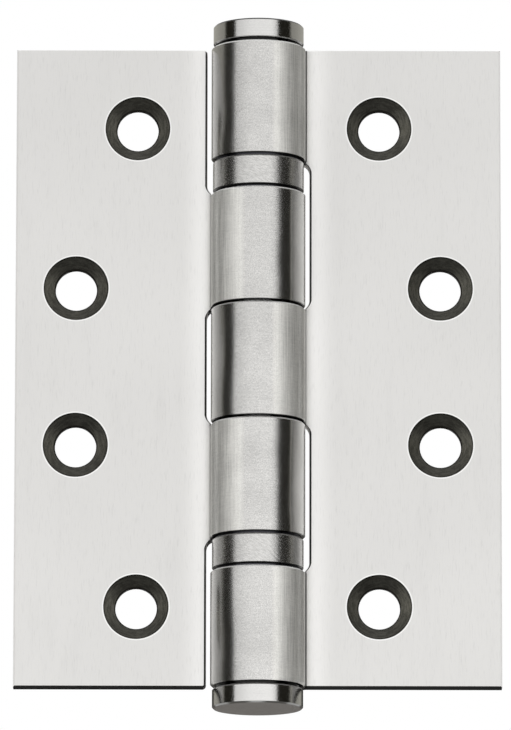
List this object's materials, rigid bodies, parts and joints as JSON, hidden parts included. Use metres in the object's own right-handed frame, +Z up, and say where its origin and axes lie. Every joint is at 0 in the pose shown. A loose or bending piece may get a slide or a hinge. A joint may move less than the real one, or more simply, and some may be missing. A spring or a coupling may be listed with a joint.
{
  "type": "butt hinge",
  "caption": "Stainless steel butt hinge with rolled interlocking knuckles, a round pin, flat end caps and ball thrust bearings, for hanging a door.",
  "frame": {"origin": "on the pin's axis at half the hinge's height", "axes": "+Z up along the pin; +X across the frame leaf, away from the pin, with the hinge open flat; +Y towards the backs of the leaves, so the countersunk faces look towards -Y"},
  "size_m": [0.0762, 0.0148, 0.1086],
  "materials": {
    "leaf_steel": "satin stainless steel, fine brush lines along the pin",
    "turned_steel": "finely turned stainless steel",
    "sleeve_steel": "stainless steel with fine lines round it",
    "pin_steel": "ground stainless steel",
    "race_steel": "ground bearing steel",
    "ball_steel": "polished bearing steel",
    "cage_nylon": "moulded nylon"
  },
  "bodies": {
    "frame_side": {"bottom_cap": "turned_steel", "frame_leaf": "leaf_steel", "hinge_pin": "pin_steel", "lower_bearing_lower_race": "race_steel", "lower_bearing_sleeve": "sleeve_steel", "top_cap": "turned_steel", "upper_bearing_sleeve": "sleeve_steel", "upper_bearing_upper_race": "race_steel"},
    "door_side": {"door_leaf": "leaf_steel", "lower_bearing_upper_race": "race_steel", "upper_bearing_lower_race": "race_steel"},
    "lower_balls": {"lower_bearing_ball_01": "ball_steel", "lower_bearing_ball_02": "ball_steel", "lower_bearing_ball_03": "ball_steel", "lower_bearing_ball_04": "ball_steel", "lower_bearing_ball_05": "ball_steel", "lower_bearing_ball_06": "ball_steel", "lower_bearing_ball_07": "ball_steel", "lower_bearing_ball_08": "ball_steel", "lower_bearing_ball_09": "ball_steel", "lower_bearing_ball_10": "ball_steel", "lower_bearing_ball_11": "ball_steel", "lower_bearing_ball_12": "ball_steel", "lower_bearing_cage": "cage_nylon"},
    "upper_balls": {"upper_bearing_ball_01": "ball_steel", "upper_bearing_ball_02": "ball_steel", "upper_bearing_ball_03": "ball_steel", "upper_bearing_ball_04": "ball_steel", "upper_bearing_ball_05": "ball_steel", "upper_bearing_ball_06": "ball_steel", "upper_bearing_ball_07": "ball_steel", "upper_bearing_ball_08": "ball_steel", "upper_bearing_ball_09": "ball_steel", "upper_bearing_ball_10": "ball_steel", "upper_bearing_ball_11": "ball_steel", "upper_bearing_ball_12": "ball_steel", "upper_bearing_cage": "cage_nylon"}
  },
  "joints": [
    {"name": "door_swing", "type": "hinge", "parent": "frame_side", "child": "door_side", "pos_m": [0, 0, 0], "axis": [0, 0, 1], "range_deg": [-122, 180]},
    {"name": "lower_balls_orbit", "type": "hinge", "parent": "frame_side", "child": "lower_balls", "pos_m": [0, 0, -0.03], "axis": [0, 0, 1], "range_deg": [-61, 90]},
    {"name": "upper_balls_orbit", "type": "hinge", "parent": "frame_side", "child": "upper_balls", "pos_m": [0, 0, 0.03], "axis": [0, 0, 1], "range_deg": [-61, 90]}
  ],
  "couplings": [
    {"joint": "lower_balls_orbit", "follows": "door_swing", "ratio": 0.5},
    {"joint": "upper_balls_orbit", "follows": "door_swing", "ratio": 0.5}
  ]
}
